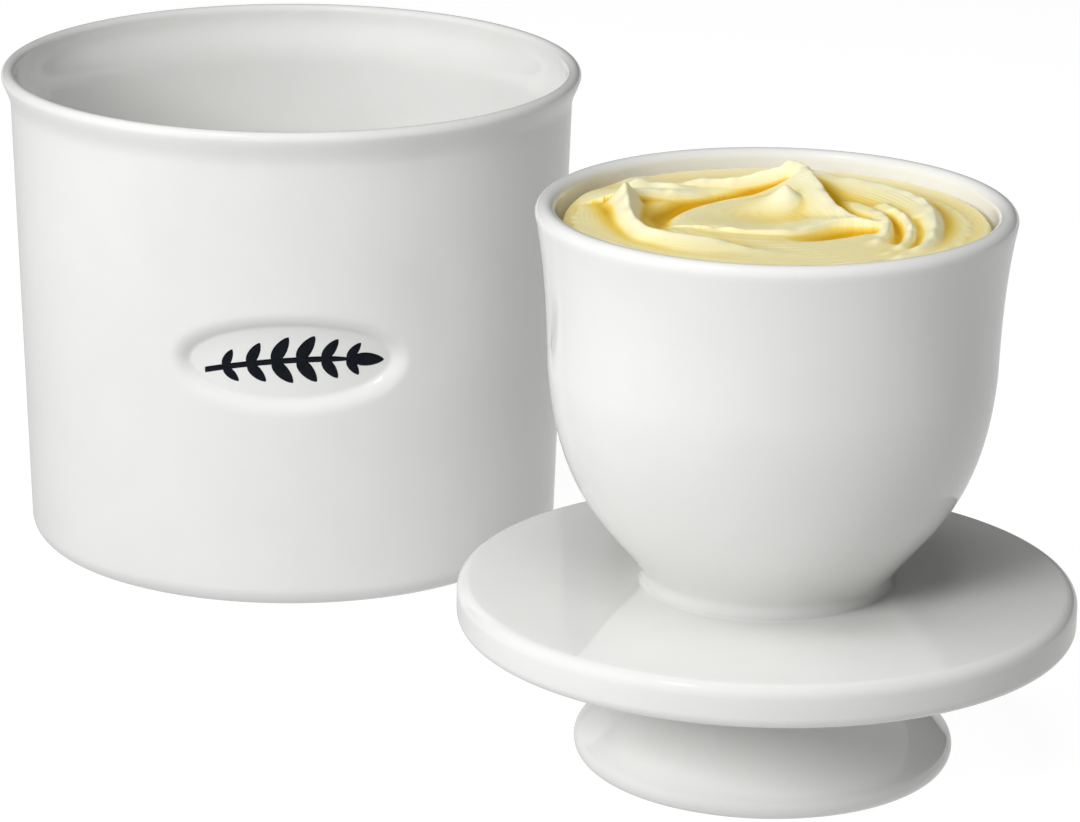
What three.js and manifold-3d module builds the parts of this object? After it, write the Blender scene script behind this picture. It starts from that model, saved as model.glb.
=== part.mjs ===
// Butter crock: a straight-sided glazed pot and its bell lid, which stands upside down beside the
// pot on its own knob, with the bell packed full of butter.
// Units are millimetres, +Z is up, and the sprig on the pot faces -Y. The origin is on the table,
// under the centre of the whole group.

import * as THREE from 'three';
import { mergeVertices } from 'three/addons/utils/BufferGeometryUtils.js';
import Module from 'manifold-3d';

// Driving dimensions: the pot.
const potHeight = 100;
const rimRadius = 60;
const rimLip = 1.5; // radius of the rounded lip
const flareStart = 92.6; // height where the wall starts to flare into the rim
const wallTopRadius = 58.15;
const wallBaseRadius = 55.4;
const baseCorner = 4.3;
const wallThickness = 3.9;
const floorTop = 5.2;
const footInner = 43.5;
const footHollow = 1.4;

// Driving dimensions: the oval panel and its sprig.
const panelHeight = 51.8;
const panelHalfWidth = 24.9;
const panelHalfHeight = 10.9;
const panelSlope = 3.5; // width of the soft side of the hollow
const panelDepth = 2;
const decalThickness = 0.5;

// Driving dimensions: the lid, upside down.
const knobRadius = 35.2;
const knobEdge = 3.4;
const neckRadius = 20.5;
const plateRadius = 57.2;
const plateBottom = 26.4;
const plateTop = 34.4;
const plateTopEdge = 2.4; // radii of the plate's rounded edges
const plateUnderEdge = 2.2;
const bellFootRadius = 23.2;
const bellFootHeight = 3; // the upright part of the foot, above the plate
const bellRimRadius = 43.6;
const bellTop = 106;
const bellWall = 3.8;
const bellLip = 1.9;
const bellFloor = 41;
const filletSize = 1;

// Driving dimensions: the butter.
const butterEdge = 102;
const butterPeak = 108.8;
const ridgePitch = 15;
const ridgeHeight = 1.5;
const peakSpread = 9;
const butterRings = 9;

// Where the two axes stand, and the gap left between pieces that touch.
const lidOffset = new THREE.Vector2(88.7, -135.5);
const touchGap = 0.3;
const turns = 48;

const halfWidth = (lidOffset.x + plateRadius - rimRadius) / 2;
const halfDepth = (-lidOffset.y + plateRadius - rimRadius) / 2;
const potAxis = new THREE.Vector3(-halfWidth, halfDepth, 0);
const lidAxis = new THREE.Vector3(potAxis.x + lidOffset.x, potAxis.y + lidOffset.y, 0);
const butterRadius = bellRimRadius - bellWall - 2 * touchGap;
const peakBehind = (2 * butterRadius) / butterRings;

const glazeWhite = new THREE.MeshStandardMaterial({ color: 0xf1f1ee, roughness: 0.15, metalness: 0 });
const decalNavy = new THREE.MeshStandardMaterial({ color: 0x0b111b, roughness: 0.25, metalness: 0 });
const butterYellow = new THREE.MeshStandardMaterial({ color: 0xf6e39a, roughness: 0.45, metalness: 0 });

const wasm = await Module();
wasm.setup();

// A solid of revolution about +Z from points, or from a path, in (radius, height).
function lathe(points) {
  const geometry = new THREE.LatheGeometry(points, turns);
  geometry.rotateX(Math.PI / 2);
  return geometry;
}

function revolve(path, steps) {
  return lathe(path.getPoints(steps));
}

// Keeps positions only, joins shared vertices and drops the slivers that collapse on the axis.
function weld(geometry) {
  const bare = new THREE.BufferGeometry();
  bare.setAttribute('position', geometry.attributes.position.clone());
  if (geometry.index) bare.setIndex(geometry.index.clone());
  const merged = mergeVertices(bare, 1e-4);
  const corners = merged.index.array;
  const kept = [];
  for (let i = 0; i < corners.length; i += 3) {
    const [a, b, c] = corners.slice(i, i + 3);
    if (a !== b && b !== c && c !== a) kept.push(a, b, c);
  }
  merged.setIndex(kept);
  return merged;
}

function toSolid(geometry) {
  const welded = weld(geometry);
  return new wasm.Manifold(new wasm.Mesh({
    numProp: 3,
    vertProperties: new Float32Array(welded.attributes.position.array),
    triVerts: new Uint32Array(welded.index.array),
  }));
}

function toGeometry(solid) {
  const mesh = solid.getMesh();
  const geometry = new THREE.BufferGeometry();
  geometry.setAttribute('position', new THREE.BufferAttribute(mesh.vertProperties, 3));
  geometry.setIndex(new THREE.BufferAttribute(mesh.triVerts, 1));
  geometry.computeVertexNormals();
  return geometry;
}

function piece(name, geometry, material) {
  const mesh = new THREE.Mesh(geometry, material);
  mesh.name = name;
  return mesh;
}

// Outer radius of the pot's straight wall at a height.
function wallRadius(z) {
  const share = (z - baseCorner) / (flareStart - baseCorner);
  return THREE.MathUtils.lerp(wallBaseRadius, wallTopRadius, share);
}

// Bends flat work onto the pot's front: x runs round the wall, y up it, and z out of it.
function wrapOntoWall(geometry) {
  const points = geometry.attributes.position;
  const middleRadius = wallRadius(panelHeight);
  for (let i = 0; i < points.count; i += 1) {
    const angle = points.getX(i) / middleRadius;
    const height = panelHeight + points.getY(i);
    const radius = wallRadius(height) + points.getZ(i);
    points.setXYZ(i, radius * Math.sin(angle), -radius * Math.cos(angle), height);
  }
  return geometry;
}

// The pot: foot ring, rounded base corner, slightly tapered wall, flared rim and rounded lip.
function potPath() {
  const lipCentre = rimRadius - rimLip;
  const innerTop = wallTopRadius - wallThickness;
  const innerBase = wallBaseRadius - wallThickness;
  const path = new THREE.Path();
  path.moveTo(0, footHollow);
  path.lineTo(footInner - footHollow, footHollow);
  path.lineTo(footInner, 0);
  path.lineTo(wallBaseRadius - baseCorner, 0);
  path.absarc(wallBaseRadius - baseCorner, baseCorner, baseCorner, -Math.PI / 2, 0, false);
  path.lineTo(wallTopRadius, flareStart);
  path.quadraticCurveTo(wallTopRadius + 0.3, flareStart + 3, rimRadius, potHeight - rimLip);
  path.absarc(lipCentre, potHeight - rimLip, rimLip, 0, Math.PI, false);
  path.bezierCurveTo(lipCentre - rimLip, flareStart + 2, innerTop, flareStart, innerTop, flareStart - 5);
  path.lineTo(innerBase, floorTop + 8);
  path.quadraticCurveTo(innerBase, floorTop, innerBase - 8, floorTop);
  path.lineTo(0, floorTop);
  return path;
}

// The cutter for the oval panel: a shallow dish with a soft side, open outwards. It is turned as a
// round dish first, and each ring is then stretched to an oval that keeps the side's width.
function panelCutter() {
  const round = panelHalfHeight - panelSlope;
  const clearance = 2;
  const sideRun = (panelSlope * clearance) / panelDepth;
  const path = new THREE.Path();
  path.moveTo(0, -panelDepth);
  for (const share of [0.25, 0.5, 0.75, 1]) path.lineTo(round * share, -panelDepth);
  path.lineTo(round + panelSlope, 0);
  path.lineTo(round + panelSlope + sideRun, clearance);
  path.lineTo(round, clearance);
  path.lineTo(0, clearance);
  const cutter = revolve(path, 1);
  const points = cutter.attributes.position;
  for (let i = 0; i < points.count; i += 1) {
    const radius = Math.hypot(points.getX(i), points.getY(i));
    const shareOfFloor = Math.min(radius / round, 1);
    const direction = points.getX(i) / Math.max(radius, 1e-6);
    points.setX(i, points.getX(i) + direction * shareOfFloor * (panelHalfWidth - panelHalfHeight));
  }
  return wrapOntoWall(cutter);
}

function potBody() {
  const pot = toSolid(revolve(potPath(), 4));
  return toGeometry(pot.subtract(toSolid(panelCutter())));
}

// One leaf, pointing along +X from the origin.
function leafShape(length, width) {
  const leaf = new THREE.Shape();
  leaf.moveTo(0, 0);
  leaf.bezierCurveTo(length * 0.2, width * 0.75, length * 0.7, width * 0.65, length, 0);
  leaf.bezierCurveTo(length * 0.7, -width * 0.65, length * 0.2, -width * 0.75, 0, 0);
  return leaf;
}

// The sprig: a gently arched stem with pairs of leaves and one at its tip, as one thin decal.
function sprigDecal() {
  const reach = 15.5;
  const stemWidth = 0.9;
  const pairs = 6;
  const rise = (x) => 0.06 * x - 0.005 * x * x + 0.5;
  const lean = (x) => Math.atan(0.06 - 0.01 * x);
  const options = { depth: decalThickness, bevelEnabled: false, curveSegments: 4 };

  const stem = new THREE.BoxGeometry(2 * reach + 2.5, stemWidth, decalThickness, 18, 1, 1);
  stem.translate(-1.25, 0, decalThickness / 2);
  const points = stem.attributes.position;
  for (let i = 0; i < points.count; i += 1) points.setY(i, points.getY(i) + rise(points.getX(i)));
  let sprig = toSolid(stem);

  const addLeaf = (x, angle, length, width) => {
    const leaf = new THREE.ExtrudeGeometry(leafShape(length, width), options);
    leaf.rotateZ(angle);
    leaf.translate(x, rise(x), 0);
    sprig = sprig.add(toSolid(leaf));
  };
  for (let i = 0; i < pairs; i += 1) {
    const x = -reach + 1.5 + (i * 2 * (reach - 2.5)) / (pairs - 1);
    const size = 1 - 0.35 * Math.abs((2 * i) / (pairs - 1) - 1);
    for (const side of [1, -1]) addLeaf(x, lean(x) + side * 0.9, 6.6 * size, 3 * size);
  }
  addLeaf(reach - 2.5, lean(reach), 7, 2.8);

  const decal = toGeometry(sprig);
  decal.translate(0, 0, touchGap - panelDepth);
  return wrapOntoWall(decal);
}

// The knob: a flat standing face, a rounded edge and a flare that narrows to the neck.
function knobPath() {
  const path = new THREE.Path();
  path.moveTo(0, 0);
  path.lineTo(knobRadius - knobEdge, 0);
  path.absarc(knobRadius - knobEdge, knobEdge, knobEdge, -Math.PI / 2, Math.PI / 4, false);
  path.bezierCurveTo(27.5, 13.5, neckRadius, 17, neckRadius, plateBottom - touchGap);
  path.lineTo(0, plateBottom - touchGap);
  return path;
}

// The plate that covers the pot's rim: flat on both faces, with a rounded edge.
function platePath() {
  const underCentre = plateRadius - plateUnderEdge;
  const topCentre = plateRadius - plateTopEdge;
  const path = new THREE.Path();
  path.moveTo(0, plateBottom);
  path.lineTo(underCentre, plateBottom);
  path.absarc(underCentre, plateBottom + plateUnderEdge, plateUnderEdge, -Math.PI / 2, 0, false);
  path.absarc(topCentre, plateTop - plateTopEdge, plateTopEdge, 0, Math.PI / 2, false);
  path.lineTo(0, plateTop);
  return path;
}

// The inside of the bell from its lip down to its floor, moved inwards by a gap.
function bellInside(path, gap) {
  const insideTop = bellRimRadius - bellWall - gap;
  path.bezierCurveTo(insideTop - 0.3, 98, insideTop - 2.2, 90, insideTop - 2.5, 80);
  path.bezierCurveTo(insideTop - 3, 60, 28 - gap, bellFloor + 4 + gap, 14, bellFloor + gap);
  path.lineTo(0, bellFloor + gap);
}

// The bell: a cup that grows from a narrow foot, with a slightly flared, rounded rim.
function bellPath() {
  const lipCentre = bellRimRadius - bellLip;
  const path = new THREE.Path();
  path.moveTo(0, plateTop + touchGap);
  path.lineTo(bellFootRadius, plateTop + touchGap);
  path.lineTo(bellFootRadius, plateTop + bellFootHeight);
  path.bezierCurveTo(28.5, 45.2, 39.4, 51, 41, 76);
  path.bezierCurveTo(41.3, 88, 42, 96, bellRimRadius, bellTop - bellLip);
  path.absarc(lipCentre, bellTop - bellLip, bellLip, 0, Math.PI, false);
  bellInside(path, 0);
  return path;
}

// A concave ring of slip in the corner where a foot meets the plate; up is 1 or -1.
function filletPath(radius, plateFace, up) {
  const start = plateFace + up * touchGap;
  const inner = radius + 2 * touchGap;
  const path = new THREE.Path();
  path.moveTo(inner, start);
  path.lineTo(inner + filletSize, start);
  path.quadraticCurveTo(inner + 0.3, start + up * 0.3, inner, start + up * filletSize);
  path.lineTo(inner, start);
  return path;
}

function fillet(radius, plateFace, up) {
  const points = filletPath(radius, plateFace, up).getPoints(3);
  if (up < 0) points.reverse();
  return lathe(points);
}

// Height of the butter's spread top: a spiral ridge that gives way to a peak behind the middle.
function butterHeight(x, y) {
  const radius = Math.hypot(x, y);
  const angle = Math.atan2(y, x);
  const insideRim = THREE.MathUtils.smoothstep(butterRadius - radius, 0, 6);
  const spiral = ridgeHeight * Math.cos(2 * Math.PI * (radius / ridgePitch) - angle);
  const nearPeak = Math.exp(-(x ** 2 + (y - peakBehind) ** 2) / peakSpread ** 2);
  const rise = THREE.MathUtils.lerp(spiral, butterPeak - butterEdge, nearPeak);
  return butterEdge + insideRim * rise;
}

// The butter: the bell's inside less a small gap, with the spread top.
function butterFill() {
  const path = new THREE.Path();
  path.moveTo(0, butterEdge);
  for (let ring = 1; ring <= butterRings; ring += 1) {
    path.lineTo((butterRadius * ring) / butterRings, butterEdge);
  }
  bellInside(path, touchGap);
  const geometry = lathe(path.getPoints(4).reverse());
  const vertices = geometry.attributes.position;
  for (let i = 0; i < vertices.count; i += 1) {
    if (vertices.getZ(i) === butterEdge) {
      vertices.setZ(i, butterHeight(vertices.getX(i), vertices.getY(i)));
    }
  }
  return geometry;
}

const pot = new THREE.Group();
pot.position.copy(potAxis);
pot.add(
  piece('crock_body', potBody(), glazeWhite),
  piece('sprig_decal', sprigDecal(), decalNavy),
);

const lid = new THREE.Group();
lid.position.copy(lidAxis);
lid.add(
  piece('lid_knob', revolve(knobPath(), 5), glazeWhite),
  piece('knob_luting_fillet', fillet(neckRadius, plateBottom, -1), glazeWhite),
  piece('lid_plate', revolve(platePath(), 2), glazeWhite),
  piece('bell_luting_fillet', fillet(bellFootRadius, plateTop, 1), glazeWhite),
  piece('bell_cup', revolve(bellPath(), 5), glazeWhite),
  piece('butter_fill', butterFill(), butterYellow),
);

const butterCrock = new THREE.Group();
butterCrock.add(pot, lid);

export default butterCrock;
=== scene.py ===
import math

import bpy
import numpy as np
from mathutils import Matrix, Vector


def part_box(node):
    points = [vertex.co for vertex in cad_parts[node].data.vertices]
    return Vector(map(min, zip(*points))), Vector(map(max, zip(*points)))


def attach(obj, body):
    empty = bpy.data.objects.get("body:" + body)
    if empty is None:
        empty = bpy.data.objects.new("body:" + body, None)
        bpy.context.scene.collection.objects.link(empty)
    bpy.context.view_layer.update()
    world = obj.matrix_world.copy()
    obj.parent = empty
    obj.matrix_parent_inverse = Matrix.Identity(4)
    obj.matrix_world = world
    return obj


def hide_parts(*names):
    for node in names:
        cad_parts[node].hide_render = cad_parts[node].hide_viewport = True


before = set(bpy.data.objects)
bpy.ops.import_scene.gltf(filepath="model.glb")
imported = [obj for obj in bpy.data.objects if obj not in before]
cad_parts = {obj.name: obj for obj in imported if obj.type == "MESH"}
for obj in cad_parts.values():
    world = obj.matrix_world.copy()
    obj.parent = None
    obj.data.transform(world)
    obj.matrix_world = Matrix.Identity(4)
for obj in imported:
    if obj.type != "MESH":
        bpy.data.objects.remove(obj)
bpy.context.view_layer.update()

# Lengths in this script are metres, except where a comment says millimetres.
MM = 0.001


# ---------------------------------------------------------------- places from the frame
def axis_and_radius(node):
    """The vertical axis (x, y), the outer radius, and the lowest and highest z of a turned node."""
    low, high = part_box(node)
    axis = ((low[0] + high[0]) / 2, (low[1] + high[1]) / 2)
    return axis, (high[0] - low[0]) / 2, low[2], high[2]


POT_AXIS, RIM_RADIUS, _, POT_TOP = axis_and_radius("crock_body")
LID_AXIS, PLATE_RADIUS, PLATE_BOTTOM, PLATE_TOP = axis_and_radius("lid_plate")
_, BELL_RADIUS, _, BELL_TOP = axis_and_radius("bell_cup")
_, KNOB_RADIUS, _, _ = axis_and_radius("lid_knob")

# The pot: a tapered wall that flares into a rounded rim, on a rounded corner and a flat foot ring.
WALL_TOP_RADIUS = RIM_RADIUS - 1.85 * MM
WALL_BASE_RADIUS = RIM_RADIUS - 4.6 * MM
WALL = 3.9 * MM
FLARE_START = POT_TOP - 7.4 * MM
FLARE_BLEND = 5 * MM  # how far below the flare the inside starts to follow it
BASE_CORNER = 4.3 * MM
INSIDE_CORNER = 8 * MM
RIM_LIP = 1.5 * MM
POT_FLOOR = 5.2 * MM
FOOT_INNER = 43.5 * MM
FOOT_HOLLOW = 1.4 * MM
FOOT_SIDE = 2.2 * MM  # the width of the ring's sloping inner side
UNGLAZED_BELOW = 0.3 * MM  # faces that look down from lower than this are bare clay

# The oval panel pressed into the pot's front. Its side falls as a parabola to SIDE_BEND of the depth
# and then eases into the floor; SIDE_REACH is where the parabola would have ended.
PANEL_HEIGHT = POT_TOP * 0.518
PANEL_HALF_WIDTH = 24.9 * MM
PANEL_HALF_HEIGHT = 10.9 * MM
PANEL_SLOPE = 3.7 * MM
PANEL_DEPTH = 2.3 * MM
PANEL_MARGIN = 2 * MM  # how far the fine part of the grid runs past the panel
SIDE_BEND = 0.82
SIDE_REACH = 1.12

# The sprig on the panel. Its stem is a parabola about the panel's middle.
STEM_TILT = 0.06
STEM_BEND = 5
STEM_LIFT = 0.5 * MM
STEM_REACH = 15.5 * MM
STEM_TAIL = 2.5 * MM  # the bare stalk to the left of the leaves
STEM_HALF_WIDTH = 0.6 * MM
LEAF_PAIRS = 6
LEAF_LENGTH = 6.6 * MM
LEAF_WIDTH = 1.5 * MM
LEAF_LEAN = 0.9
LEAF_TAPER = 0.35  # how much smaller the outermost leaves are
TIP_LENGTH = 7 * MM
TIP_WIDTH = 1.4 * MM
INK_EDGE = 0.02 * MM
INK_UNDER = 0.15 * MM

# The lid, upside down: knob, plate and bell, which reach a little into each other.
NECK_RADIUS = 20.5 * MM
KNOB_EDGE = 3.4 * MM
PLATE_TOP_EDGE = 2.4 * MM
PLATE_UNDER_EDGE = 2.2 * MM
LAP = 0.5 * MM
BELL_FOOT_RADIUS = 23.2 * MM
BELL_FOOT_TOP = PLATE_TOP + 2.6 * MM
BELL_WALL = 3.8 * MM
BELL_LIP = 1.9 * MM
BELL_FLOOR = 41 * MM
BELL_FLOOR_RADIUS = 14 * MM
FILLET = 0.6 * MM
FILLET_LAP = 0.3 * MM

# The butter, which stands just clear of the bell's inside.
BUTTER_EDGE = BELL_TOP - 7.6 * MM
BUTTER_GAP = 0.06 * MM


# ---------------------------------------------------------------- profiles, (radius, height)
def line(a, b, count):
    share = np.linspace(0, 1, count)[:, None]
    return np.array(a) * (1 - share) + np.array(b) * share


def arc(centre, radius, start, end, count):
    angle = np.radians(np.linspace(start, end, count))
    return np.stack([centre[0] + radius * np.cos(angle), centre[1] + radius * np.sin(angle)], 1)


def bezier(a, b, c, d, count):
    t = np.linspace(0, 1, count)[:, None]
    a, b, c, d = (np.array(p) for p in (a, b, c, d))
    return a * (1 - t) ** 3 + 3 * b * t * (1 - t) ** 2 + 3 * c * t ** 2 * (1 - t) + d * t ** 3


def joined(*parts):
    """Parts end to end, without the points that two of them share."""
    points = np.concatenate(parts)
    step = np.linalg.norm(np.diff(points, axis=0), axis=1)
    return points[np.concatenate([[True], step > 1e-6])]


# ---------------------------------------------------------------- meshes
def mesh_object(name, vertices, faces, material):
    mesh = bpy.data.meshes.new(name)
    mesh.from_pydata([tuple(v) for v in vertices], [], [tuple(f) for f in faces])
    mesh.polygons.foreach_set("use_smooth", [True] * len(mesh.polygons))
    mesh.materials.append(material)
    mesh.update()
    piece = bpy.data.objects.new(name, mesh)
    bpy.context.scene.collection.objects.link(piece)
    return piece


def turned(name, profile, axis, material, angles=None, shape=None):
    """A solid of revolution. The profile runs up the outside. If it starts and ends on the axis, a fan
    closes each end, and otherwise it closes on itself. shape moves the grid before it is built."""
    if angles is None:
        angles = np.linspace(0, 2 * math.pi, 256, endpoint=False)
    on_axis = profile[0][0] < 1e-9
    ring = profile[1:-1] if on_axis else profile
    radius = np.repeat(ring[:, :1], len(angles), axis=1)
    height = np.repeat(ring[:, 1:], len(angles), axis=1)
    angle = np.repeat(angles[None, :], len(ring), axis=0)
    if shape:
        radius, height = shape(radius, angle, height)
    grid = np.stack([axis[0] + radius * np.cos(angle), axis[1] + radius * np.sin(angle), height], 2)
    vertices = grid.reshape(-1, 3)
    rows, columns = len(ring), len(angles)
    index = np.arange(rows * columns).reshape(rows, columns)
    turned_index = np.roll(index, -1, axis=1)
    last = rows - 1 if on_axis else rows
    upper = np.roll(index, -1, axis=0)[:last]
    upper_turned = np.roll(turned_index, -1, axis=0)[:last]
    faces = np.stack([index[:last], turned_index[:last], upper_turned, upper], 2).reshape(-1, 4).tolist()
    if on_axis:
        bottom = len(vertices)
        top = bottom + 1
        caps = [[axis[0], axis[1], profile[0][1]], [axis[0], axis[1], profile[-1][1]]]
        vertices = np.concatenate([vertices, caps])
        faces += [(bottom, b, a) for a, b in zip(index[0], turned_index[0])]
        faces += [(top, a, b) for a, b in zip(index[-1], turned_index[-1])]
    return mesh_object(name, vertices, faces, material)


# ---------------------------------------------------------------- node helpers
def new_material(name):
    material = bpy.data.materials.new(name)
    material.use_nodes = True
    nodes = material.node_tree.nodes
    return material, nodes, material.node_tree.links, nodes["Principled BSDF"]


def noise(nodes, links, coordinates, scale, detail=2.0):
    texture = nodes.new("ShaderNodeTexNoise")
    texture.inputs["Scale"].default_value = scale
    texture.inputs["Detail"].default_value = detail
    links.new(coordinates, texture.inputs["Vector"])
    return texture.outputs["Fac"]


def ramp(nodes, links, source, stops):
    """A colour ramp over source: stops is a list of (position, colour)."""
    node = nodes.new("ShaderNodeValToRGB")
    while len(node.color_ramp.elements) < len(stops):
        node.color_ramp.elements.new(0.5)
    for element, (position, colour) in zip(node.color_ramp.elements, stops):
        element.position = position
        element.color = (*colour, 1)
    links.new(source, node.inputs["Fac"])
    return node.outputs["Color"]


def spread(nodes, links, source, low, high):
    """Maps a source between 0.3 and 0.7, as noise gives, to low and high."""
    node = nodes.new("ShaderNodeMapRange")
    node.inputs["From Min"].default_value = 0.3
    node.inputs["From Max"].default_value = 0.7
    node.inputs["To Min"].default_value = low
    node.inputs["To Max"].default_value = high
    links.new(source, node.inputs["Value"])
    return node.outputs["Result"]


def bump(nodes, links, height, distance, below=None):
    node = nodes.new("ShaderNodeBump")
    node.inputs["Strength"].default_value = 1
    node.inputs["Distance"].default_value = distance
    links.new(height, node.inputs["Height"])
    if below is not None:
        links.new(below, node.inputs["Normal"])
    return node.outputs["Normal"]


def object_coordinates(nodes):
    return nodes.new("ShaderNodeTexCoord").outputs["Object"]


# ---------------------------------------------------------------- materials
def glaze():
    """White gloss glaze over white clay: faint mottling, and a slow unevenness in the gloss."""
    material, nodes, links, shader = new_material("white_glaze")
    where = object_coordinates(nodes)
    cloud = noise(nodes, links, where, 38, 3)
    tint = ramp(nodes, links, cloud, [(0.3, (0.80, 0.80, 0.785)), (0.7, (0.835, 0.835, 0.822))])
    links.new(tint, shader.inputs["Base Color"])
    sheen = spread(nodes, links, noise(nodes, links, where, 55, 2), 0.03, 0.07)
    links.new(sheen, shader.inputs["Roughness"])
    wave = bump(nodes, links, noise(nodes, links, where, 45, 1), 0.05 * MM)
    skin = bump(nodes, links, noise(nodes, links, where, 900, 2), 0.001 * MM, wave)
    links.new(skin, shader.inputs["Normal"])
    shader.inputs["IOR"].default_value = 1.5
    shader.inputs["Subsurface Weight"].default_value = 0.08
    shader.inputs["Subsurface Radius"].default_value = (1.0, 0.9, 0.8)
    shader.inputs["Subsurface Scale"].default_value = 1.2 * MM
    return material


def dry_clay():
    """The unglazed foot: matt, a little warmer, with a fine grain."""
    material, nodes, links, shader = new_material("dry_clay")
    where = object_coordinates(nodes)
    speckle = noise(nodes, links, where, 1500, 4)
    tint = ramp(nodes, links, speckle, [(0.35, (0.62, 0.59, 0.53)), (0.65, (0.74, 0.71, 0.65))])
    links.new(tint, shader.inputs["Base Color"])
    grain = bump(nodes, links, noise(nodes, links, where, 2200, 3), 0.05 * MM)
    links.new(grain, shader.inputs["Normal"])
    shader.inputs["Roughness"].default_value = 0.8
    return material


def decal_ink():
    """Fired navy ink under the gloss, a little uneven where the transfer is thin."""
    material, nodes, links, shader = new_material("decal_ink")
    where = object_coordinates(nodes)
    tint = ramp(nodes, links, noise(nodes, links, where, 900, 3),
                [(0.35, (0.0022, 0.0035, 0.007)), (0.7, (0.005, 0.0075, 0.014))])
    links.new(tint, shader.inputs["Base Color"])
    sheen = spread(nodes, links, noise(nodes, links, where, 400, 2), 0.16, 0.26)
    links.new(sheen, shader.inputs["Roughness"])
    shader.inputs["Specular IOR Level"].default_value = 0.15
    return material


def butter_matter():
    """Soft butter with a satin, greasy skin. Its colour ramp paints light and shade: paler on the crests as
    painted light, deeper yellow in the hollows as painted shade. The mesh's crest attribute says how high
    each place stands over the butter round it."""
    material, nodes, links, shader = new_material("butter")
    where = object_coordinates(nodes)
    crest = nodes.new("ShaderNodeAttribute")
    crest.attribute_name = "crest"
    # The ramp runs from painted shade, deep yellow in the hollows, to painted light, pale on the crests.
    tint = ramp(nodes, links, crest.outputs["Fac"], [
        (0.12, (0.70, 0.40, 0.012)),
        (0.4, (0.91, 0.67, 0.13)),
        (0.58, (0.99, 0.87, 0.46)),
        (1.0, (0.99, 0.93, 0.64)),
    ])
    links.new(tint, shader.inputs["Base Color"])
    sheen = spread(nodes, links, noise(nodes, links, where, 260, 3), 0.3, 0.46)
    links.new(sheen, shader.inputs["Roughness"])
    smear = bump(nodes, links, noise(nodes, links, where, 420, 4), 0.06 * MM)
    grain = bump(nodes, links, noise(nodes, links, where, 1800, 3), 0.015 * MM, smear)
    links.new(grain, shader.inputs["Normal"])
    shader.inputs["Subsurface Weight"].default_value = 0.25
    shader.inputs["Subsurface Radius"].default_value = (1.0, 0.75, 0.25)
    shader.inputs["Subsurface Scale"].default_value = 1.4 * MM
    shader.inputs["IOR"].default_value = 1.46
    return material


def pale_floor():
    """The table: it glows just short of white, so that it shows pale wherever the lamps fall."""
    material, _, _, shader = new_material("pale_floor")
    shader.inputs["Base Color"].default_value = (0.2, 0.2, 0.2, 1)
    shader.inputs["Roughness"].default_value = 0.9
    shader.inputs["Specular IOR Level"].default_value = 0
    shader.inputs["Emission Color"].default_value = (1, 1, 1, 1)
    shader.inputs["Emission Strength"].default_value = 0.92
    material.cycles.emission_sampling = "NONE"
    return material


# ---------------------------------------------------------------- the pot
def wall_radius(height):
    share = (height - BASE_CORNER) / (FLARE_START - BASE_CORNER)
    return WALL_BASE_RADIUS + share * (WALL_TOP_RADIUS - WALL_BASE_RADIUS)


def panel_sink(along, up):
    """How deep the panel is at a point: 0 on the wall, PANEL_DEPTH on its floor."""
    half_width = PANEL_HALF_WIDTH - PANEL_SLOPE / 2
    half_height = PANEL_HALF_HEIGHT - PANEL_SLOPE / 2
    field = (along / half_width) ** 2 + (up / half_height) ** 2 - 1
    slope = 2 * np.sqrt((along / half_width ** 2) ** 2 + (up / half_height ** 2) ** 2)
    inside = np.clip(0.5 - field / np.maximum(slope, 1e-6) / PANEL_SLOPE, 0, 1)
    curved = SIDE_REACH * inside ** 2
    over = np.clip((curved - SIDE_BEND) / (SIDE_REACH - SIDE_BEND), 0, 1)
    power = (SIDE_REACH - SIDE_BEND) / (1 - SIDE_BEND)  # so that the two curves meet without a kink
    eased = SIDE_BEND + (1 - SIDE_BEND) * (1 - (1 - over) ** power)
    return PANEL_DEPTH * np.where(curved < SIDE_BEND, curved, eased)


def pot_profile():
    lip_centre = (RIM_RADIUS - RIM_LIP, POT_TOP - RIM_LIP)
    lip_inner = RIM_RADIUS - 2 * RIM_LIP
    inner_top = WALL_TOP_RADIUS - WALL
    inner_base = WALL_BASE_RADIUS - WALL
    panel_low = PANEL_HEIGHT - PANEL_HALF_HEIGHT - PANEL_MARGIN
    panel_high = PANEL_HEIGHT + PANEL_HALF_HEIGHT + PANEL_MARGIN
    corner = (WALL_BASE_RADIUS - BASE_CORNER, BASE_CORNER)
    inside_corner = (inner_base - INSIDE_CORNER, POT_FLOOR + INSIDE_CORNER)
    return joined(
        line((0, FOOT_HOLLOW), (FOOT_INNER - FOOT_SIDE, FOOT_HOLLOW), 6),
        bezier((FOOT_INNER - FOOT_SIDE, FOOT_HOLLOW), (FOOT_INNER - 0.9 * MM, FOOT_HOLLOW),
               (FOOT_INNER - 1.1 * MM, 0), (FOOT_INNER, 0), 8),
        line((FOOT_INNER, 0), (corner[0], 0), 4),
        arc(corner, BASE_CORNER, -90, 0, 14),
        line((WALL_BASE_RADIUS, BASE_CORNER), (wall_radius(panel_low), panel_low), 14),
        line((wall_radius(panel_low), panel_low), (wall_radius(panel_high), panel_high), 60),
        line((wall_radius(panel_high), panel_high), (WALL_TOP_RADIUS, FLARE_START), 12),
        bezier((WALL_TOP_RADIUS, FLARE_START), (WALL_TOP_RADIUS + 0.1 * MM, FLARE_START + 2.4 * MM),
               (RIM_RADIUS - 0.3 * MM, POT_TOP - 3.2 * MM), (RIM_RADIUS, POT_TOP - RIM_LIP), 14),
        arc(lip_centre, RIM_LIP, 0, 180, 18),
        bezier((lip_inner, POT_TOP - RIM_LIP), (lip_inner, FLARE_START + 2 * MM),
               (inner_top, FLARE_START), (inner_top, FLARE_START - FLARE_BLEND), 14),
        line((inner_top, FLARE_START - FLARE_BLEND), (inner_base, POT_FLOOR + INSIDE_CORNER), 16),
        arc(inside_corner, INSIDE_CORNER, 0, -90, 12),
        line((inner_base - INSIDE_CORNER, POT_FLOOR), (0, POT_FLOOR), 8),
    )


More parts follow.
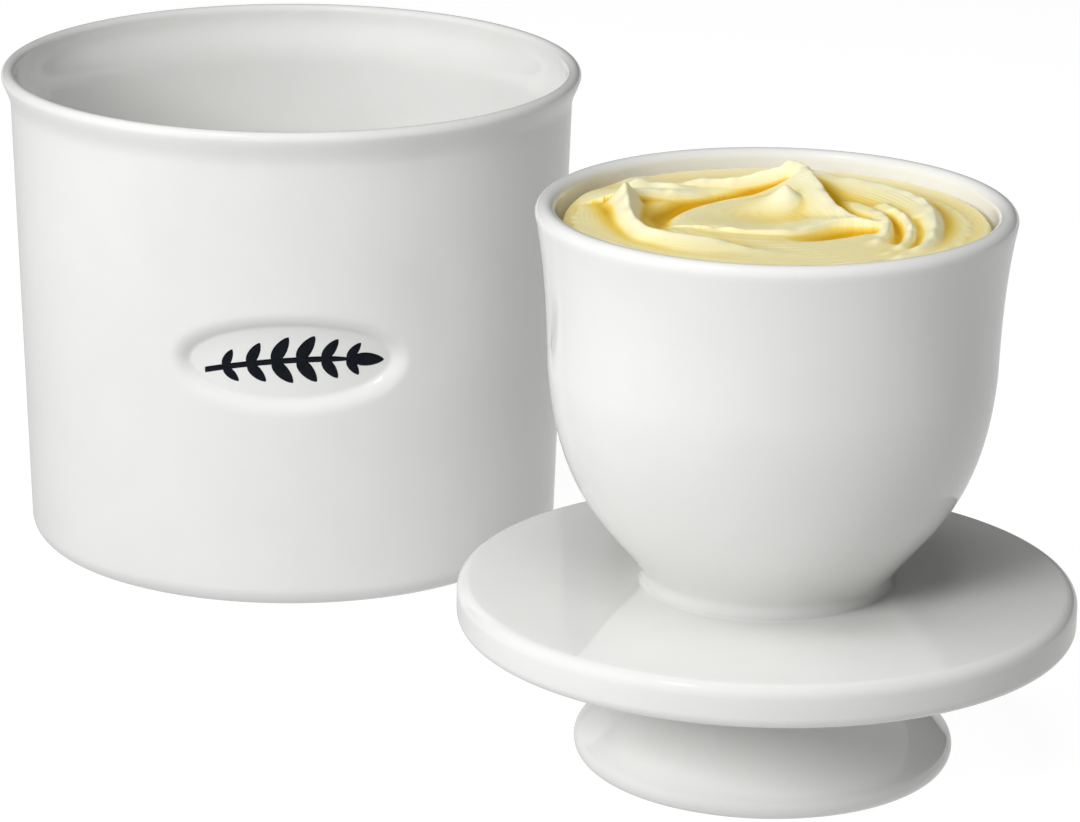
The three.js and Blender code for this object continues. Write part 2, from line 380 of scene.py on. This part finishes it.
def pot_angles():
    """Turns of the pot's grid, closer together across the panel, which faces -Y."""
    half = PANEL_HALF_WIDTH / WALL_BASE_RADIUS + math.radians(3)
    front = -math.pi / 2
    panel = np.linspace(front - half, front + half, 150, endpoint=False)
    rest = np.linspace(front + half, front - half + 2 * math.pi, 190, endpoint=False)
    return np.concatenate([panel, rest])


def sink_panel(radius, angle, height):
    """Presses the panel into the outside of the pot's grid."""
    along = (np.mod(angle + math.pi * 1.5, 2 * math.pi) - math.pi) * wall_radius(PANEL_HEIGHT)
    on_wall = radius > wall_radius(height) - WALL / 2
    sunk = panel_sink(along, height - PANEL_HEIGHT)
    return np.where(on_wall, radius - sunk, radius), height


def bare_foot(piece, dry):
    """Leaves the faces that stand on the table unglazed."""
    piece.data.materials.append(dry)
    for face in piece.data.polygons:
        if face.normal.z < -0.9 and face.center.z < UNGLAZED_BELOW:
            face.material_index = 1


def build_pot(glazed, dry):
    pot = turned("crock_pot", pot_profile(), POT_AXIS, glazed, pot_angles(), sink_panel)
    bare_foot(pot, dry)
    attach(pot, "crock")
    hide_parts("crock_body")


# ---------------------------------------------------------------- the sprig
def on_panel(along, up, lift):
    """Points on the panel's floor, lifted off it, in the frame."""
    angle = along / wall_radius(PANEL_HEIGHT) - math.pi / 2
    height = PANEL_HEIGHT + up
    radius = wall_radius(height) - panel_sink(along, up) + lift
    x = POT_AXIS[0] + radius * np.cos(angle)
    y = POT_AXIS[1] + radius * np.sin(angle)
    return np.stack([x, y, height], -1)


def stem_rise(x):
    return STEM_TILT * x - STEM_BEND * x * x + STEM_LIFT


def stem_lean(x):
    return math.atan(STEM_TILT - 2 * STEM_BEND * x)


def blade(start, angle, length, width, rows=18, columns=9):
    """A leaf as a thin domed pad: how far along, up and off the panel its grid stands."""
    share = np.linspace(0, 1, rows)
    half = 2.3 * width * np.sqrt(share) * (1 - share) ** 0.75  # blunt at the stem, pointed at the end
    across = np.linspace(-1, 1, columns)
    x = np.repeat(share[:, None] * length, columns, axis=1)
    y = half[:, None] * across[None, :]
    along = start[0] + x * math.cos(angle) - y * math.sin(angle)
    up = start[1] + x * math.sin(angle) + y * math.cos(angle)
    thickness = 0.10 * MM * np.minimum(1, half[:, None] / (0.4 * MM))
    return along, up, thickness * (1 - across[None, :] ** 4) + INK_EDGE


def stem(rows=60, columns=5):
    """The stem as a thin domed pad, thinner towards its tip."""
    share = np.linspace(0, 1, rows)
    centre = -STEM_REACH - STEM_TAIL + share * (2 * STEM_REACH + STEM_TAIL)
    half = STEM_HALF_WIDTH * np.minimum(1, 4 * (1.05 - share))
    across = np.linspace(-1, 1, columns)
    along = np.repeat(centre[:, None], columns, axis=1)
    up = stem_rise(along) + half[:, None] * across[None, :]
    return along, up, 0.09 * MM * (1 - across[None, :] ** 4) + INK_EDGE + 0 * along


def add_pad(vertices, faces, along, up, lift):
    """Adds a pad to a mesh: its top, its underside in the glaze, and the edge between them."""
    first = sum(len(grid) for grid in vertices)
    rows, columns = along.shape
    count = rows * columns
    vertices.append(on_panel(along, up, lift).reshape(-1, 3))
    vertices.append(on_panel(along, up, np.full_like(lift, -INK_UNDER)).reshape(-1, 3))
    index = first + np.arange(count).reshape(rows, columns)
    below = index + count
    for i in range(rows - 1):
        for j in range(columns - 1):
            faces.append((index[i, j], index[i + 1, j], index[i + 1, j + 1], index[i, j + 1]))
            faces.append((below[i, j + 1], below[i + 1, j + 1], below[i + 1, j], below[i, j]))
    edge = [*index[0, :], *index[1:, -1], *index[-1, -2::-1], *index[-2:0:-1, 0]]
    for a, b in zip(edge, edge[1:] + edge[:1]):
        faces.append((a, b, b + count, a + count))


def build_sprig(ink):
    vertices = []
    faces = []
    tip = STEM_REACH - 2.5 * MM
    add_pad(vertices, faces, *stem())
    for i in range(LEAF_PAIRS):
        x = -STEM_REACH + 1.5 * MM + i * 2 * tip / (LEAF_PAIRS - 1)
        size = 1 - LEAF_TAPER * abs(2 * i / (LEAF_PAIRS - 1) - 1)
        for side in (1, -1):
            lean = stem_lean(x) + side * LEAF_LEAN
            leaf = blade((x, stem_rise(x)), lean, LEAF_LENGTH * size, LEAF_WIDTH * size)
            add_pad(vertices, faces, *leaf)
    end_leaf = blade((tip, stem_rise(tip)), stem_lean(STEM_REACH), TIP_LENGTH, TIP_WIDTH)
    add_pad(vertices, faces, *end_leaf)
    sprig = mesh_object("sprig_transfer", np.concatenate(vertices), faces, ink)
    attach(sprig, "crock")
    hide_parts("sprig_decal")


# ---------------------------------------------------------------- the lid
def knob_profile():
    face = KNOB_RADIUS - KNOB_EDGE
    edge = arc((face, KNOB_EDGE), KNOB_EDGE, -90, 48, 16)
    return joined(
        line((0, 0), (face, 0), 12),
        edge,
        bezier(tuple(edge[-1]), (27.5 * MM, 13.5 * MM),
               (NECK_RADIUS, 17 * MM), (NECK_RADIUS, PLATE_BOTTOM), 30),
        line((NECK_RADIUS, PLATE_BOTTOM + LAP), (0, PLATE_BOTTOM + LAP), 4),
    )


def plate_profile():
    under = (PLATE_RADIUS - PLATE_UNDER_EDGE, PLATE_BOTTOM + PLATE_UNDER_EDGE)
    over = (PLATE_RADIUS - PLATE_TOP_EDGE, PLATE_TOP - PLATE_TOP_EDGE)
    return joined(
        line((0, PLATE_BOTTOM), (under[0], PLATE_BOTTOM), 24),
        arc(under, PLATE_UNDER_EDGE, -90, 0, 12),
        arc(over, PLATE_TOP_EDGE, 0, 90, 16),
        line((over[0], PLATE_TOP), (0, PLATE_TOP), 24),
    )


def bell_inside(gap, count):
    """The bell's inside from under its lip to its floor on the axis, moved inwards by a gap."""
    top = BELL_RADIUS - BELL_WALL - gap
    return joined(
        bezier((top, BELL_TOP - BELL_LIP), (top - 0.3 * MM, 98 * MM), (top - 2.2 * MM, 90 * MM),
               (top - 2.5 * MM, 80 * MM), count),
        bezier((top - 2.5 * MM, 80 * MM), (top - 3 * MM, 60 * MM),
               (28 * MM - gap, BELL_FLOOR + 4 * MM + gap), (BELL_FLOOR_RADIUS, BELL_FLOOR + gap), 2 * count),
        line((BELL_FLOOR_RADIUS, BELL_FLOOR + gap), (0, BELL_FLOOR + gap), 5),
    )


def bell_profile():
    """An upright foot, a round belly, and a side that flares a little into a rounded lip."""
    lip = (BELL_RADIUS - BELL_LIP, BELL_TOP - BELL_LIP)
    foot_bottom = (BELL_FOOT_RADIUS, PLATE_TOP - LAP)
    foot_bend = (BELL_FOOT_RADIUS, BELL_FOOT_TOP - 1 * MM)
    belly_start = (23.8 * MM, BELL_FOOT_TOP + 0.9 * MM)
    side_start = (41 * MM, 76 * MM)
    return joined(
        line((0, PLATE_TOP - LAP), foot_bottom, 4),
        line(foot_bottom, foot_bend, 5),
        bezier(foot_bend, (BELL_FOOT_RADIUS, BELL_FOOT_TOP - 0.2 * MM),
               (23.4 * MM, BELL_FOOT_TOP + 0.3 * MM), belly_start, 6),
        bezier(belly_start, (28.8 * MM, 45.5 * MM), (39.4 * MM, 51.2 * MM), side_start, 44),
        bezier(side_start, (41.3 * MM, 88 * MM), (42 * MM, 96 * MM), (BELL_RADIUS, lip[1]), 24),
        arc(lip, BELL_LIP, 0, 180, 20),
        bell_inside(0, 14),
    )


def fillet_profile(radius, face, up):
    """A concave bead in the corner between a neck and the plate; up is 1 or -1."""
    corner = (radius - FILLET_LAP, face - up * FILLET_LAP)
    top = face + up * FILLET
    curve = bezier((radius + FILLET, face), (radius + 0.35 * FILLET, face + up * 0.02 * MM),
                   (radius + 0.02 * MM, face + up * 0.35 * FILLET), (radius, top), 12)
    outline = joined(np.array([[radius + FILLET, corner[1]]]), curve, np.array([[corner[0], top], corner]))
    return outline if up > 0 else outline[::-1]


def build_lid(glazed, dry):
    knob = turned("lid_knob_turned", knob_profile(), LID_AXIS, glazed)
    bare_foot(knob, dry)
    plate = turned("lid_plate_turned", plate_profile(), LID_AXIS, glazed)
    bell = turned("bell_cup_turned", bell_profile(), LID_AXIS, glazed)
    bell_outline = fillet_profile(BELL_FOOT_RADIUS, PLATE_TOP, 1)
    bell_bead = turned("bell_slip_bead", bell_outline, LID_AXIS, glazed)
    knob_outline = fillet_profile(NECK_RADIUS, PLATE_BOTTOM, -1)
    knob_bead = turned("knob_slip_bead", knob_outline, LID_AXIS, glazed)
    nodes = {
        "lid_knob": knob,
        "lid_plate": plate,
        "bell_cup": bell,
        "bell_luting_fillet": bell_bead,
        "knob_luting_fillet": knob_bead,
    }
    for node, piece in nodes.items():
        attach(piece, "lid")
        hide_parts(node)


# ---------------------------------------------------------------- the butter
# Each crest is a stroke of the knife, listed anticlockwise from above. A row is x and y from the
# lid's axis and the height z, in millimetres, then how steeply it falls towards the middle and
# away from it.
CRESTS = {
    "left": [
        (-25.4, 13, 105.6, 1.6, 1.5), (-26.8, 9.5, 107.4, 1.9, 1.8), (-26.8, 5, 106.7, 1.8, 1.7),
        (-26.4, -4, 105.4, 1.9, 1.1), (-24, -12, 105.0, 1.7, 0.7), (-21, -14.4, 104.9, 1.5, 0.5),
        (-16.8, -16.6, 104.7, 1.2, 0.32), (-12.1, -18.2, 104.4, 0.8, 0.24), (-7, -21, 103.6, 0.3, 0.14),
        (2, -24.5, 103.1, 0.1, 0.05),
    ],
    "shelf": [
        (-10, 17.8, 103.9, 1.2, 0.1), (-14, 16.4, 104.2, 1.8, 0.1), (-17, 15.6, 104.5, 2.2, 0.12),
        (-21, 14.6, 104.8, 2.2, 0.12), (-25.5, 13.2, 105.4, 2.2, 0.3),
    ],
    "curl": [
        (-14, 19.5, 104.2, 0.6, 0.6), (-17.1, 18.2, 105.0, 1.4, 1.2), (-20.8, 17.8, 105.4, 1.8, 1.5),
        (-24.2, 16.8, 106.3, 2.2, 1.8), (-26, 15.5, 105.3, 1.8, 1.8),
    ],
    "back": [
        (7.5, 23.4, 107.1, 2.2, 1.4), (4.6, 23.7, 108.2, 2.6, 1.6), (2.4, 23.2, 107.0, 2.4, 1.2),
        (-2, 23.3, 105.8, 2.2, 0.8), (-6.6, 22.5, 104.9, 2.0, 0.4), (-11.3, 22.2, 105.0, 1.4, 0.4),
        (-16.1, 20.6, 104.4, 1.0, 0.4),
    ],
    "fold": [
        (16.5, -3.6, 103.9, 0.25, 2.2), (13.8, -1.6, 104.4, 0.3, 3.2), (12, 0.8, 105.1, 0.32, 4.0),
        (10.4, 4, 106.1, 0.36, 4.5), (9.4, 8.5, 107.0, 0.4, 4.0), (8.4, 13, 107.4, 0.5, 3.2),
        (7.4, 18, 107.9, 0.7, 2.6), (6.8, 21.5, 107.3, 0.8, 2.0),
    ],
    "lip": [
        (-12, -7.2, 103.7, 0.06, 0.6), (-5, -9.6, 103.8, 0.08, 0.9), (2, -9.4, 103.9, 0.1, 1.2),
        (6.5, -6.4, 104.0, 0.1, 1.5), (9.4, -4.2, 104.2, 0.1, 1.8), (13.8, -3.2, 104.3, 0.2, 1.8),
        (17.3, -4.4, 104.1, 0.4, 1.4),
    ],
    "inner arc": [
        (15.5, -18, 103.3, 0.3, 0.6), (18.4, -11.5, 104.0, 0.8, 1.3), (19.7, -4.2, 104.4, 0.6, 1.5),
        (18.6, 2, 104.3, 0.3, 1.2), (15.5, 8, 104.0, 0.1, 0.6),
    ],
    "middle arc": [
        (17, -24, 103.1, 0.4, 0.5), (21.4, -17.5, 103.9, 1.0, 1.2), (23.2, -10, 104.5, 1.0, 1.5),
        (22.7, -1.8, 104.7, 0.8, 1.2), (20.5, 6, 104.5, 0.4, 0.6),
    ],
    "right": [
        (12, -30, 102.9, 0.2, 0.2), (18.5, -26.9, 103.4, 0.4, 0.6), (25.2, -18.5, 104.3, 0.6, 1.2),
        (27.6, -8.5, 105.0, 0.45, 1.5), (28, 1, 105.2, 0.35, 1.4), (26.2, 9, 105.3, 0.28, 1.0),
        (20.5, 17, 105.4, 0.28, 0.9), (13, 22, 105.6, 0.3, 0.8), (8.5, 24, 106.2, 0.5, 0.8),
    ],
}
# A row of a hollow is x, y, depth and half width, along its middle.
HOLLOWS = {
    "behind": [
        (-21, -4, 0.8, 2.2), (-20.4, 4, 1.8, 2.4), (-16.8, 10.8, 2.3, 2.4), (-10.8, 15.8, 2.2, 2.2),
        (-5, 18.6, 2.0, 1.9), (0.2, 20.4, 2.4, 1.7), (3.6, 20.8, 1.6, 1.3),
    ],
    "in front": [(1, -13.5, 0.3, 3.0), (7, -10.2, 1.3, 2.8), (13, -7.4, 1.8, 2.3), (16.6, -7.2, 1.1, 1.6)],
    "under the fold": [(10.8, 9, 0.7, 1.9), (12.8, 3.6, 1.2, 1.6), (15.4, 0.2, 0.8, 1.3)],
    "between arcs": [(20.2, -15.5, 0.6, 1.2), (21.6, -7, 0.9, 1.1), (20.8, 1, 0.5, 1.1)],
    "outside arcs": [(23.0, -19.5, 0.5, 1.1), (25.2, -10.5, 0.8, 1.1), (25.2, -3, 0.4, 1.1)],
}
# The rest of the top, in millimetres: the plain height, the dollop in the middle (x, y, z), how far it
# and a crest fall from their tops at most, and how far the top spreads before it drops to its edge.
PLATEAU = 103.2
DOLLOP = (2.2, 7.2, 107.6)
DOLLOP_DROP = 4.7
CREST_DROP = 7
SPREAD = 36.9
SPREAD_LOST_BEHIND = 9.4
EDGE_DROP = 4.6
RIM_TURN = 38  # a turn of one radian along the butter's edge
# The butter's painted light and shade: MARK_PLAIN is the tone of butter that is neither lit nor shaded.
MARK_REACH = 42  # the grid that the butter's painted light and shade is worked out on
MARK_STEP = 0.5
MARK_PLAIN = 0.6
# The butter's grid: points round it, rings on its top, and layers down its side.
BUTTER_TURNS = 480
BUTTER_RINGS = 190
BUTTER_LAYERS = 39


def along_path(rows, count=140):
    """A smooth path through rows of numbers, evenly in its parameter."""
    rows = np.array(rows, float)
    padded = np.concatenate([[2 * rows[0] - rows[1]], rows, [2 * rows[-1] - rows[-2]]])
    where = np.linspace(0, len(rows) - 1 - 1e-9, count)
    step = where.astype(int)
    t = (where - step)[:, None]
    a, b, c, d = (padded[step + k] for k in range(4))
    square = (2 * a - 5 * b + 4 * c - d) * t ** 2
    cube = (3 * b - a - 3 * c + d) * t ** 3
    return 0.5 * (2 * b + (c - a) * t + square + cube)


def nearest_on(path, x, y):
    """For each place, the path's values nearest to it and the signed distance, positive away from the
    middle for a path that runs anticlockwise."""
    best = np.full(x.shape, 1e9)
    row = np.zeros(x.shape, int)
    for k, (px, py) in enumerate(path[:, :2]):
        distance = (x - px) ** 2 + (y - py) ** 2
        closer = distance < best
        best = np.where(closer, distance, best)
        row = np.where(closer, k, row)
    change = np.gradient(path, axis=0)[row]
    stride = change[..., 0] ** 2 + change[..., 1] ** 2
    to_x, to_y = x - path[row, 0], y - path[row, 1]
    between = np.clip((to_x * change[..., 0] + to_y * change[..., 1]) / stride, -0.5, 0.5)
    side = to_x * change[..., 1] - to_y * change[..., 0]
    away = np.sqrt(np.clip(best - between ** 2 * stride, 0, None))
    return path[row] + between[..., None] * change, away * np.sign(side)


def soft_max(a, b, width):
    """The higher of a and b, with the corner between them rounded over a width."""
    share = np.clip(0.5 + 0.5 * (a - b) / width, 0, 1)
    return b * (1 - share) + a * share + width * share * (1 - share)


def ripples(seed, phase, count, low, high):
    """Waves about 1 high along phase, with random wavelengths between low and high."""
    random = np.random.default_rng(seed)
    total = 0
    for _ in range(count):
        length = random.uniform(low, high)
        total = total + np.sin(2 * math.pi * (phase / length + random.uniform(0, 1)))
    return total / math.sqrt(count)


def butter_height(x, y):
    """The butter's top, in millimetres, at a place in millimetres from the lid's axis."""
    radius = np.hypot(x, y)
    angle = np.arctan2(y, x)
    behind = np.exp(-((np.degrees(angle) - 80) / 48) ** 2)
    ragged = 0.35 * ripples(3, angle * RIM_TURN, 7, 2.5, 15)
    edge = SPREAD - SPREAD_LOST_BEHIND * behind - 0.6 * np.cos(angle) + ragged
    over = np.clip(radius - edge + 1.6, 0, None)
    height = PLATEAU - 0.1 + 0.3 * behind - EDGE_DROP * (1 - np.exp(-(over / 3.2) ** 2)) - 0.05 * over
    reach = np.hypot(x - DOLLOP[0], y - DOLLOP[1])
    rounded = np.sqrt(reach ** 2 + 0.8) - 0.9
    height = soft_max(height, DOLLOP[2] - DOLLOP_DROP * (1 - np.exp(-rounded / 3.9)), 0.5)
    for seed, rows in enumerate(CRESTS.values()):
        path = along_path(rows)
        walked = np.cumsum(np.hypot(*np.gradient(path[:, :2], axis=0).T))
        path = np.column_stack([path, 0.12 * ripples(40 + seed, walked, 5, 2.5, 9)])
        crest, off = nearest_on(path, x, y)
        slope = np.where(off < 0, crest[..., 3], crest[..., 4])
        fall = slope * (np.sqrt(off ** 2 + 0.36) - 0.6)
        top = crest[..., 2] + crest[..., 5] * np.exp(-(off / 1.1) ** 2)
        height = soft_max(height, top - CREST_DROP * (1 - np.exp(-fall / CREST_DROP)), 0.35)
    for rows in HOLLOWS.values():
        hollow, off = nearest_on(along_path(rows, 60), x, y)
        height = height - hollow[..., 2] * np.exp(-(off / hollow[..., 3]) ** 2)
    # Fine marks of the knife run round the middle, in patches, and spare the dollop.
    spiral = radius + 1.9 * angle + 0.5 * np.sin(3 * angle + 0.4)
    patch = 0.5 + 0.5 * np.tanh(2 * ripples(11, 0.6 * x + 0.5 * y + 9 * np.sin(angle), 4, 9, 26) - 0.6)
    stroke = ripples(5, spiral, 6, 0.8, 3.2)
    calm = np.clip(reach / 9, 0.1, 1)
    return height + 0.04 * calm * stroke * patch


def blurred(grid, reach):
    """A grid of heights, averaged over reach cells each way, three times."""
    for _ in range(3):
        for axis in (0, 1):
            before = np.repeat(np.take(grid, [0], axis), reach + 1, axis)
            after = np.repeat(np.take(grid, [-1], axis), reach, axis)
            padded = np.concatenate([before, grid, after], axis)
            total = np.cumsum(padded, axis)
            size = grid.shape[axis]
            upper = np.take(total, np.arange(2 * reach + 1, 2 * reach + 1 + size), axis)
            grid = (upper - np.take(total, np.arange(size), axis)) / (2 * reach + 1)
    return grid


def painted_relief_shading(x, y):
    """The butter's painted light and shade at each place: MARK_PLAIN, more as painted light where it stands
    over the butter round it, and less as painted shade in a hollow. It comes from a regular grid, so that
    the mesh's own spacing doesn't show."""
    cells = np.arange(-MARK_REACH, MARK_REACH + 0.01, MARK_STEP)
    relief = butter_height(*np.meshgrid(cells, cells, indexing="ij"))
    low = relief - blurred(relief, 4)
    wide = relief - blurred(relief, 10)
    # Painted shade in the hollows and painted light on the crests, from the height over the blurred
    # surroundings.
    painted_tone = MARK_PLAIN + 0.45 * low + 0.16 * wide
    i = np.clip((x + MARK_REACH) / MARK_STEP, 0, len(cells) - 1.001)
    j = np.clip((y + MARK_REACH) / MARK_STEP, 0, len(cells) - 1.001)
    i0, j0 = i.astype(int), j.astype(int)
    fi, fj = i - i0, j - j0
    return (painted_tone[i0, j0] * (1 - fi) * (1 - fj) + painted_tone[i0 + 1, j0] * fi * (1 - fj)
            + painted_tone[i0, j0 + 1] * (1 - fi) * fj + painted_tone[i0 + 1, j0 + 1] * fi * fj)


def build_butter(matter):
    """A closed lump: the knife-worked top, and the bell's inside from its edge down. x, y and z stay in
    millimetres from the lid's axis until the vertices are made."""
    turns = np.linspace(0, 2 * math.pi, BUTTER_TURNS, endpoint=False)
    shell = bell_inside(BUTTER_GAP, 26)[::-1]
    rim_height = BUTTER_EDGE + 0.45 * MM * ripples(21, turns * RIM_TURN, 8, 2.5, 14)
    share = np.linspace(0, 1, BUTTER_RINGS + 1)[1:] ** 0.92  # rings a little closer towards the edge
    edge_radius = np.interp(rim_height, shell[1:, 1], shell[1:, 0]) / MM
    x = share[:, None] * edge_radius * np.cos(turns)
    y = share[:, None] * edge_radius * np.sin(turns)
    top = butter_height(x, y)
    close = np.clip((share[:, None] - 0.97) / 0.03, 0, 1) ** 2
    top = top * (1 - close) + rim_height / MM * close
    # The crest attribute carries painted light on the crests and painted shade in the hollows.
    crest = painted_relief_shading(x, y)
    floor = BELL_FLOOR + BUTTER_GAP
    depth = np.linspace(0, 1, BUTTER_LAYERS + 1)[1:, None]
    shell_height = rim_height[None, :] * (1 - depth) + floor * depth
    shell_radius = np.interp(shell_height, shell[1:, 1], shell[1:, 0]) / MM
    shell_radius[-1] = 10  # a ring on the floor, which a fan closes
    x = np.concatenate([x, shell_radius * np.cos(turns)])
    y = np.concatenate([y, shell_radius * np.sin(turns)])
    z = np.concatenate([top, shell_height / MM])
    # The butter's side against the bell takes a little painted shade.
    crest = np.concatenate([crest, np.full(shell_radius.shape, 0.5)])
    middle = butter_height(np.zeros((1, 1)), np.zeros((1, 1)))[0, 0]
    grid = np.stack([x, y, z], 2).reshape(-1, 3)
    grid = np.concatenate([grid, [[0, 0, middle], [0, 0, floor / MM]]]) * MM
    vertices = grid + np.array([*LID_AXIS, 0])
    index = np.arange(x.size).reshape(x.shape)
    turned_index = np.roll(index, -1, axis=1)
    corners = [index[:-1], index[1:], turned_index[1:], turned_index[:-1]]
    faces = np.stack(corners, 2).reshape(-1, 4).tolist()
    faces += [(x.size, a, b) for a, b in zip(index[0], turned_index[0])]
    faces += [(x.size + 1, b, a) for a, b in zip(index[-1], turned_index[-1])]
    piece = mesh_object("butter_swirl", vertices, faces, matter)
    # The crest attribute holds the painted light and shade that the butter's colour ramp reads.
    attribute = piece.data.attributes.new("crest", "FLOAT", "POINT")
    attribute.data.foreach_set("value", np.concatenate([np.clip(crest, 0, 1).ravel(), [0.5, 0.5]]))
    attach(piece, "butter")
    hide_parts("butter_fill")


# ---------------------------------------------------------------- camera, floor and light
# The lens and the sensor are in millimetres, and the three turns are in degrees.
CAMERA_LENS = 156.2
CAMERA_SENSOR = 36
CAMERA_YAW = 2.46
CAMERA_PITCH = 17.28
CAMERA_ROLL = 0.70
CAMERA_RIGHT = 11.49 * MM  # from the pot's axis
CAMERA_BACK = 949.87 * MM
CAMERA_HEIGHT = 320.5 * MM
LAMP_TARGET = Vector((0, -0.02, 0.05))
LAMP_DISTANCE = 1
TABLE_GLOW = 0.65
HORIZON = 0.02  # half the height, as a sine, of the blend between table and room
FLOOR_REACH = 6


def build_camera():
    """A long lens in front of the pot's panel, a little to its right, looking down on the group."""
    place = Vector((POT_AXIS[0] + CAMERA_RIGHT, POT_AXIS[1] - CAMERA_BACK, CAMERA_HEIGHT))
    camera = bpy.data.objects.new("camera", bpy.data.cameras.new("camera"))
    camera.data.lens = CAMERA_LENS
    camera.data.sensor_width = CAMERA_SENSOR
    camera.data.clip_start = 0.05
    yaw = Matrix.Rotation(-math.radians(CAMERA_YAW), 4, "Z")
    pitch = Matrix.Rotation(math.pi / 2 - math.radians(CAMERA_PITCH), 4, "X")
    roll = Matrix.Rotation(math.radians(CAMERA_ROLL), 4, "Z")
    camera.matrix_world = Matrix.Translation(place) @ yaw @ pitch @ roll
    bpy.context.scene.collection.objects.link(camera)
    bpy.context.scene.camera = camera


def softbox(name, bearing, elevation, power, mirrored=False, size=0.6):
    """A square lamp aimed at the group. Its bearing is in degrees from the camera's side, positive to
    the right. A lamp that isn't mirrored leaves no reflection of itself in the glaze."""
    bearing, elevation = math.radians(bearing), math.radians(elevation)
    level = math.cos(elevation)
    away = Vector((math.sin(bearing) * level, -math.cos(bearing) * level, math.sin(elevation)))
    light = bpy.data.lights.new(name, "AREA")
    light.shape = "SQUARE"
    light.size = size
    light.energy = power
    lamp = bpy.data.objects.new(name, light)
    lamp.location = LAMP_TARGET + away * LAMP_DISTANCE
    lamp.rotation_euler = (-away).to_track_quat("-Z", "Y").to_euler()
    lamp.visible_glossy = mirrored
    bpy.context.scene.collection.objects.link(lamp)


def build_world():
    """A dark room, and below the horizon the light that the table would throw up at the group."""
    world = bpy.data.worlds.new("studio")
    world.use_nodes = True
    nodes, links = world.node_tree.nodes, world.node_tree.links
    up = nodes.new("ShaderNodeSeparateXYZ")
    links.new(nodes.new("ShaderNodeTexCoord").outputs["Generated"], up.inputs["Vector"])
    horizon = nodes.new("ShaderNodeMapRange")
    horizon.inputs["From Min"].default_value = -HORIZON
    horizon.inputs["From Max"].default_value = HORIZON
    horizon.inputs["To Min"].default_value = TABLE_GLOW
    horizon.inputs["To Max"].default_value = 0
    links.new(up.outputs["Z"], horizon.inputs["Value"])
    links.new(horizon.outputs["Result"], nodes["Background"].inputs["Strength"])
    nodes["Background"].inputs["Color"].default_value = (1, 1, 1, 1)
    bpy.context.scene.world = world


def build_studio():
    """The lamps, the room and the pale table. The world's lower half lights the group from below, so
    the table itself stays out of every bounce."""
    softbox("key", -36, 27, 6.4, size=0.34)
    softbox("top", -10, 72, 3.9)
    softbox("glint", -46, 62, 0.5, mirrored=True, size=0.15)
    softbox("left", -100, 30, 2.3)
    softbox("right", 84, 40, 1.1)
    build_world()
    bpy.context.scene.view_settings.view_transform = "Standard"
    far = FLOOR_REACH
    corners = [(-far, -far, 0), (far, -far, 0), (far, far, 0), (-far, far, 0)]
    floor = mesh_object("floor", corners, [(0, 1, 2, 3)], pale_floor())
    floor.visible_diffuse = False
    floor.visible_glossy = False
    floor.visible_shadow = False


# ---------------------------------------------------------------- making
build_camera()
build_studio()
white = glaze()
bisque = dry_clay()
build_pot(white, bisque)
build_sprig(decal_ink())
build_lid(white, bisque)
build_butter(butter_matter())
